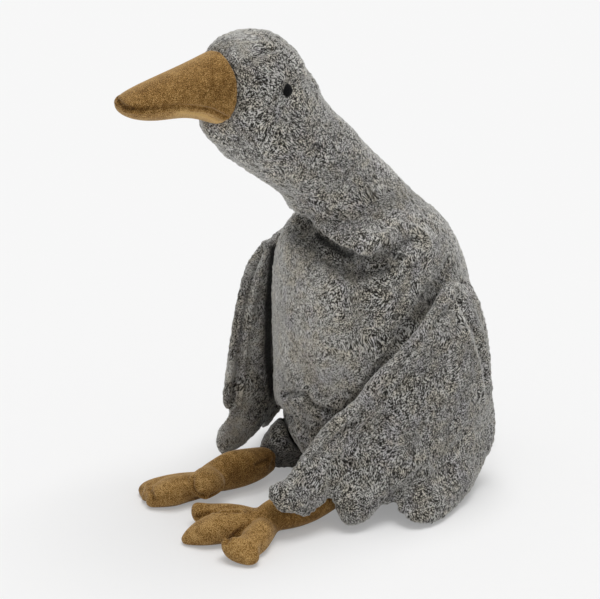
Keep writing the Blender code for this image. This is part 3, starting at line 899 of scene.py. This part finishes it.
class GOOSE_OT_body_and_neck(bpy.types.Operator):
    """Make the body's cover and the neck and head's cover, which are sewn together"""

    bl_idname = "goose.body_and_neck"
    bl_label = "Body and neck"

    def execute(self, context):
        hide = soft_copy("hide", "body", "neck_and_head")
        remesh(hide, FILLING_MESH)
        self.blend_neck(hide.data)
        pull(hide.data, HIDE_PULLS)
        points = points_of(hide.data)
        sewn_on = ("beak", "wing_left", "wing_right", "thigh_left", "thigh_right", "tail")
        sewn = near_nodes(points, sewn_on, HIDE_SEWN)
        sewn |= points[:, 2] < SEAT_SEWN
        plump(hide, sewn, sizes().filling_reach)
        remesh(hide, PLUSH_MESH)
        relax(hide.data, rounds=3)
        swell(hide.data, HEAD_SWELLINGS)
        self.sew_creases(hide.data)
        keep_above_floor(hide.data)
        points = points_of(hide.data)
        neck_share = np.clip((points[:, 2:] - LAY_TURN_START) / LAY_TURN_HEIGHT, 0, 1)
        lay = np.array(BODY_LAY) * (1 - neck_share) + np.array(NECK_LAY) * neck_share
        grow_pile(hide.data, lay, self.painted_shade_places(hide.data), NECK_PIVOT,
                  self.bare_places(points))
        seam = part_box("body")[1][2] - NECK_SEAM_DROP
        body = cut_out(hide, "body_cover", lambda middle: middle.z <= seam)
        neck = cut_out(hide, "neck_and_head_cover", lambda middle: middle.z > seam)
        bpy.data.objects.remove(hide)
        finish_piece(body, "grey_plush", "body")
        finish_piece(neck, "grey_plush", "neck_and_head")
        return {"FINISHED"}

    def blend_neck(self, mesh):
        """Fill the angle between the neck and the body behind, where the cover runs through."""
        points = points_of(mesh)
        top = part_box("body")[1][2]
        weight = BLEND_WEIGHT * bell(points[:, 2] - (top - BLEND_DROP), BLEND_HEIGHT)
        weight *= np.clip((points[:, 1] + BLEND_FRONT) / BLEND_DEPTH, BLEND_LEAST, 1)
        relax(mesh, BLEND_ROUNDS, weight)

    def sew_creases(self, mesh):
        """Sink the folds and seams that the photograph shows."""
        fold = photo_line(mesh, NECK_FOLD)
        overhang(mesh, fold, *NECK_OVERHANG)
        press(mesh, fold, *NECK_FOLD_SIZE)
        sew(mesh, NECK_CREASES)
        overhang(mesh, photo_line(mesh, SEAT_EDGE), *SEAT_OVERHANG)
        swell(mesh, SEAT_SWELLINGS)
        sew(mesh, SEAMS)

    def painted_shade_places(self, mesh):
        """Where the folds, hollows and seams are painted with shade."""
        points = points_of(mesh)
        crushed = np.zeros(len(points))
        for pixels, width, amount in PAINTED_SHADE_LINES:
            share = beside(points, photo_line(mesh, pixels), width * MM)
            crushed = np.maximum(crushed, amount * share)
        return crushed

    def bare_places(self, points):
        """Where the pile is held down: 1 under each eye."""
        bare = np.zeros(len(points))
        for side, _ in SIDES:
            low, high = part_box("eye_" + side)
            middle = (np.array(low) + np.array(high)) / 2
            gap = np.linalg.norm(points - middle, axis=1)
            bare = np.maximum(bare, bell(gap, EYE_DIMPLE))
        return bare


class GOOSE_OT_wings(bpy.types.Operator):
    """Make the two padded wings"""

    bl_idname = "goose.wings"
    bl_label = "Wings"

    def execute(self, context):
        for side, hand in SIDES:
            wing = filled_cover("wing_" + side, FILLING_MESH, 4, WING_PULLS[side], "body",
                                WING_SEWN, sizes().filling_reach, PLUSH_MESH)
            swell(wing.data, WING_SWELLINGS[side])
            sew(wing.data, WING_CREASES[side])
            grow_pile(wing.data, WING_LAYS[side], self.painted_shade_places(wing.data, hand))
            finish_piece(wing, "grey_plush", "wing_" + side)
        return {"FINISHED"}

    def painted_shade_places(self, mesh, hand):
        """Painted shade: a little all over, more on the inner side that faces the body, and most
        where the right wing lies against the body."""
        # Painted shade on the side of the wing that faces the body.
        inner_side = np.clip(normals_of(mesh)[:, 0] * -hand * WING_INNER_TURN, 0, 1)
        crushed = np.maximum(inner_side * WING_INNER_SHADE, WING_SHADE)
        if hand > 0:
            return crushed
        for pixels, width, amount, most in RIGHT_WING_PAINTED_SHADE:
            share = beside(points_of(mesh), photo_line(mesh, pixels), width * MM)
            crushed = np.maximum(crushed, np.minimum(amount * share, most))
        return crushed


class GOOSE_OT_thighs_and_tail(bpy.types.Operator):
    """Make the plush upper legs and the tail"""

    bl_idname = "goose.thighs_and_tail"
    bl_label = "Thighs and tail"

    def execute(self, context):
        for node in ("thigh_left", "thigh_right", "tail"):
            piece = filled_cover(node, SMALL_FILLING_MESH, 3, THIGH_PULLS.get(node, ()), "body",
                                 THIGH_SEWN, sizes().filling_reach, PLUSH_MESH)
            # Painted shade on the thighs; the tail gets none.
            shade = 0.0 if node == "tail" else THIGH_SHADE
            grow_pile(piece.data, THIGH_LAY, np.full(len(piece.data.vertices), shade))
            finish_piece(piece, "grey_plush", node)
        return {"FINISHED"}


def mark_tone_and_painted_light(mesh, marks):
    """Keep how much paler the velour is painted, or darker below 0: painted shade along seams
    and legs, painted light on swellings, and the beak's paler and darker bands.
    """
    points = points_of(mesh)
    wear = np.zeros(len(points))
    for line, width, amount in marks:
        wear += amount * beside(points, line, width)
    keep_attribute(mesh, "wear", wear)


class GOOSE_OT_beak(bpy.types.Operator):
    """Make the padded beak with its double seam"""

    bl_idname = "goose.beak"
    bl_label = "Beak"

    def execute(self, context):
        beak = filled_cover("beak", SMALL_FILLING_MESH, 2, (), "neck_and_head", VELOUR_SEWN,
                            VELOUR_FILLING, VELOUR_MESH)
        lines = [photo_line(beak.data, crease[0]) for crease in BEAK_CREASES]
        for line, (_, width, depth, shoulder) in zip(lines, BEAK_CREASES):
            press(beak.data, line, width * MM, depth * MM, shoulder * MM)
        # The beak's tones: painted shade along the seam and the lip, paler along the piping and
        # below it.
        mark_tone_and_painted_light(beak.data, [(lines[crease] + np.array([0, 0, above * MM]), width * MM, amount)
                              for crease, above, width, amount in BEAK_TONE_AND_SHADE])
        finish_piece(beak, "ochre_velour", "beak")
        return {"FINISHED"}


class GOOSE_OT_feet(bpy.types.Operator):
    """Make the two padded feet"""

    bl_idname = "goose.feet"
    bl_label = "Feet"

    def execute(self, context):
        for side, _ in SIDES:
            foot = filled_cover("foot_" + side, FOOT_FILLING_MESH, 5, FOOT_PULLS[side],
                                "thigh_" + side, VELOUR_SEWN, VELOUR_FILLING, VELOUR_MESH)
            keep_above_floor(foot.data)
            self.sew_creases(side, foot.data)
            finish_piece(foot, "ochre_velour", "foot_" + side)
        return {"FINISHED"}

    def sew_creases(self, side, mesh):
        """Fill out the leg and the toes, and sink the seams along them."""
        marks = []
        for swelling in FOOT_SWELLINGS[side]:
            swell(mesh, (swelling,))
            pixel, radius, _ = swelling
            place = seen_place(mesh, pixel)
            # Painted light: the velour is painted paler on each swelling.
            marks.append((np.array([place, place]), radius * MM, SWELLING_LIGHT))
        keep_above_floor(mesh)
        for pixels in FOOT_SEAMS[side]:
            line = photo_line(mesh, pixels)
            press(mesh, line, *FOOT_SEAM_SIZE)
            # Painted shade along each seam.
            marks.append((line, FOOT_SEAM_SIZE[0], FOOT_SEAM_SHADE))
        # Painted shade along the middle of the leg.
        marks.append((photo_line(mesh, LEG_LINES[side]), LEG_REACH, LEG_SHADE))
        mark_tone_and_painted_light(mesh, marks)


class GOOSE_OT_eyes(bpy.types.Operator):
    """Make the two satin-stitched eyes"""

    bl_idname = "goose.eyes"
    bl_label = "Eyes"

    def execute(self, context):
        for side, hand in SIDES:
            eye = self.stitch(f"eye_{side}_stitches", side, hand)
            finish_piece(eye, "black_thread", "eye_" + side)
        return {"FINISHED"}

    def stitch(self, name, side, hand):
        """An oval of upright threads laid side by side, each one a thin bowed tube."""
        low, high = (Vector(corner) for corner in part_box("eye_" + side))
        middle = (low + high) / 2
        half_width = (high.y - low.y) / 2 * EYE_SPREAD[0]
        half_height = (high.z - low.z) / 2 * EYE_SPREAD[1]
        depth = high.x - low.x
        radius = half_width / THREADS * THREAD_THICKNESS
        form = bmesh.new()
        for number in range(THREADS):
            across = (number + 0.5) / THREADS * 2 - 1
            reach = half_height * math.sqrt(1 - across ** 2)
            rings = []
            for row in range(THREAD_RINGS + 1):
                along = row / THREAD_RINGS * 2 - 1
                fall = (across * DOME_ACROSS) ** 2
                fall += (along * DOME_ALONG) ** 2 * (1 - across ** 2)
                dome = math.sqrt(max(0.0, 1 - fall))
                peak = 1 + EYE_PEAK * (1 - abs(across)) * max(0.0, along)
                stand = depth * (dome - DOME_LEVEL) + EYE_STAND
                centre = Vector((middle.x + hand * stand, middle.y + across * half_width,
                                 middle.z + along * reach * peak))
                ring = []
                for step in range(RING_CORNERS):
                    angle = math.tau * step / RING_CORNERS
                    offset = Vector((math.cos(angle), math.sin(angle), 0)) * radius
                    ring.append(form.verts.new(centre + offset))
                rings.append(ring)
            for ring, following in zip(rings, rings[1:]):
                for step in range(RING_CORNERS):
                    beyond = (step + 1) % RING_CORNERS
                    form.faces.new((ring[step], ring[beyond], following[beyond],
                                    following[step]))
            form.faces.new(rings[0][::-1])
            form.faces.new(rings[-1])
        bmesh.ops.recalc_face_normals(form, faces=form.faces[:])
        return piece_of(name, form)


class GOOSE_OT_stage(bpy.types.Operator):
    """Lay the studio floor, hang the lights and set the camera"""

    bl_idname = "goose.stage"
    bl_label = "Stage"

    def execute(self, context):
        self.lay_floor()
        self.light(context.scene)
        self.set_camera(context.scene)
        context.scene.view_settings.view_transform = "Standard"
        return {"FINISHED"}

    def lay_floor(self):
        """A broad flat floor, in every direction."""
        form = bmesh.new()
        corners = ((-1, -1), (1, -1), (1, 1), (-1, 1))
        form.faces.new([form.verts.new((x * FLOOR_HALF, y * FLOOR_HALF, 0)) for x, y in corners])
        floor = piece_of("studio_floor", form)
        floor.data.materials.append(studio_floor())

    def light(self, scene):
        """A pale surrounding, and one broad lamp from above that leans a little to the
        camera's right and away from it."""
        world = bpy.data.worlds.new("pale studio")
        world.use_nodes = True
        tree = world.node_tree
        background = tree.nodes["Background"]
        background.inputs["Color"].default_value = (*colours().floor, 1)
        path = add_node(tree, "ShaderNodeLightPath").outputs
        seen = add_node(tree, "ShaderNodeMath", {"operation": "MAXIMUM"},
                        i0=path["Is Camera Ray"], i1=path["Is Glossy Ray"]).outputs[0]
        strength = add_node(tree, "ShaderNodeMath", {
            "operation": "MULTIPLY_ADD", 1: 1 - WORLD_LIGHT, 2: WORLD_LIGHT}, i0=seen).outputs[0]
        tree.links.new(strength, background.inputs["Strength"])
        scene.world = world
        lamp = bpy.data.lights.new("soft_lamp", "SUN")
        lamp.energy = LAMP_STRENGTH
        lamp.angle = LAMP_BREADTH
        soft = bpy.data.objects.new("soft_lamp", lamp)
        right, _, back = camera_axes()
        towards = Vector((0, 0, 1)) + right * LAMP_RIGHT - back * LAMP_AWAY
        soft.rotation_euler = towards.to_track_quat("Z", "Y").to_euler()
        scene.collection.objects.link(soft)

    def set_camera(self, scene):
        """The photograph's camera."""
        back = camera_axes()[2]
        lens = bpy.data.cameras.new("photo_camera")
        lens.lens = LENS
        lens.sensor_width = SENSOR
        camera = bpy.data.objects.new("photo_camera", lens)
        camera.location = CAMERA_TARGET + back * CAMERA_DISTANCE
        camera.rotation_euler = back.to_track_quat("Z", "Y").to_euler()
        scene.collection.objects.link(camera)
        scene.camera = camera


class GOOSE_PT_looks(bpy.types.Panel):
    """Sizes, colours and pieces of the plush goose"""

    bl_idname = "GOOSE_PT_looks"
    bl_label = "Plush goose"
    bl_space_type = "VIEW_3D"
    bl_region_type = "UI"
    bl_category = "Goose"

    def draw(self, context):
        layout = self.layout
        for group in (context.scene.goose_sizes, context.scene.goose_colours):
            for name in group.__annotations__:
                layout.prop(group, name)
        for operator in OPERATORS:
            layout.operator(operator.bl_idname)


GROUPS = (GooseSizes, GooseColours)
OPERATORS = (GOOSE_OT_stage, GOOSE_OT_body_and_neck, GOOSE_OT_wings, GOOSE_OT_thighs_and_tail,
             GOOSE_OT_beak, GOOSE_OT_feet, GOOSE_OT_eyes)
CLASSES = (*GROUPS, *OPERATORS, GOOSE_PT_looks)


def register():
    for kind in CLASSES:
        bpy.utils.register_class(kind)
    bpy.types.Scene.goose_sizes = bpy.props.PointerProperty(type=GooseSizes)
    bpy.types.Scene.goose_colours = bpy.props.PointerProperty(type=GooseColours)


def unregister():
    del bpy.types.Scene.goose_colours
    del bpy.types.Scene.goose_sizes
    for kind in reversed(CLASSES):
        bpy.utils.unregister_class(kind)


def main():
    noise.seed_set(CURL_SEED)
    register()
    bpy.ops.goose.stage()
    bpy.ops.goose.body_and_neck()
    bpy.ops.goose.wings()
    bpy.ops.goose.thighs_and_tail()
    bpy.ops.goose.beak()
    bpy.ops.goose.feet()
    bpy.ops.goose.eyes()


if __name__ == "__main__":
    main()
